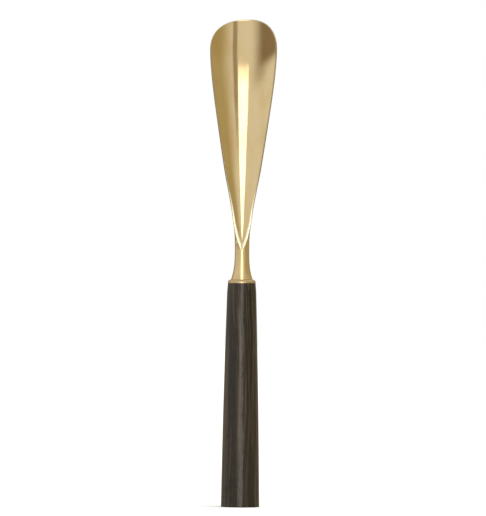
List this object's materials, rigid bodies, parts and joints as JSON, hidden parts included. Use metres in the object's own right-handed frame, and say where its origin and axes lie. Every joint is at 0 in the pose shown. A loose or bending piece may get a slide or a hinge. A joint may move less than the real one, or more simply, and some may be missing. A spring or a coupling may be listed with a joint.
{
  "type": "long shoehorn",
  "caption": "Long shoehorn: a polished brass trough-shaped blade with a rounded tip, waisted neck and flared foot on a tapered dark hardwood handle with a flat butt.",
  "frame": {"origin": "centre of the handle's flat butt face", "axes": "+Z along the handle's axis from the butt to the blade's tip, the open side of the blade's trough faces -Y, +X to the right when looking into the trough with the blade up"},
  "size_m": [0.0442, 0.0252, 0.3201],
  "materials": {
    "head_brass": "polished, with faint hand smudges and fine rubbing marks",
    "collar_brass": "turned and polished",
    "stud_steel": "zinc plated",
    "insert_brass": "as machined",
    "handle_wood": "dark close-grained hardwood, satin varnish"
  },
  "bodies": {
    "root": {"shoehorn_head": "head_brass", "collar": "collar_brass", "stud": "stud_steel", "threaded_insert": "insert_brass", "handle": "handle_wood"}
  },
  "joints": []
}
